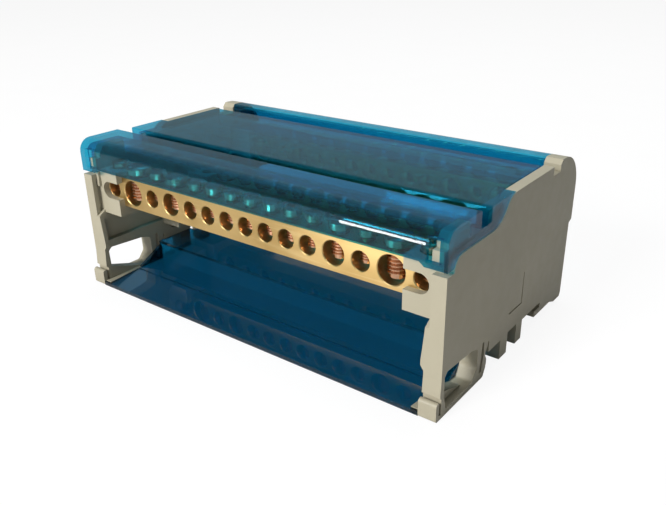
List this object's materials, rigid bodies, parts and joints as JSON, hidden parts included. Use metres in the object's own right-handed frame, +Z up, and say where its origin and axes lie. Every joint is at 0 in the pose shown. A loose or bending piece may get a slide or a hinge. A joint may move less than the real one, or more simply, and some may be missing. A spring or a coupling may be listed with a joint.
{
  "type": "power distribution block",
  "caption": "Rail-mounted power distribution block: brass bars with cross bores and clamp screws between two grey end plates, over a clear tray and under a hinged clear cover.",
  "frame": {"origin": "middle of the block's length and depth, at the height of the end plates' feet (the lowest point)", "axes": "+X along the brass bars to the right, +Y from the front edge of the cover to its hinge, +Z up away from the mounting rail"},
  "size_m": [0.1316, 0.0798, 0.049],
  "materials": {
    "grey_housing": "moulded light grey thermoplastic, satin",
    "clear_blue": "transparent tinted polycarbonate, polished",
    "brass": "bare machined brass, satin",
    "screw_steel": "yellow-plated steel, satin"
  },
  "bodies": {
    "base": {"end_plate_left": "grey_housing", "end_plate_right": "grey_housing", "tray": "clear_blue", "bar_front": "brass", "bar_inner_front": "brass", "bar_inner_rear": "brass", "bar_rear": "brass", "small_screws_front": "screw_steel", "small_screws_inner_front": "screw_steel", "small_screws_inner_rear": "screw_steel", "small_screws_rear": "screw_steel", "medium_screws_front": "screw_steel", "medium_screws_inner_front": "screw_steel", "medium_screws_inner_rear": "screw_steel", "medium_screws_rear": "screw_steel", "large_screws_front": "screw_steel", "large_screws_inner_front": "screw_steel", "large_screws_inner_rear": "screw_steel", "large_screws_rear": "screw_steel"},
    "cover": {"cover": "clear_blue"}
  },
  "joints": [
    {"name": "cover_hinge", "type": "hinge", "parent": "base", "child": "cover", "pos_m": [0, 0.03605, 0.0428], "axis": [-1, 0, 0], "range_deg": [0, 90]}
  ]
}
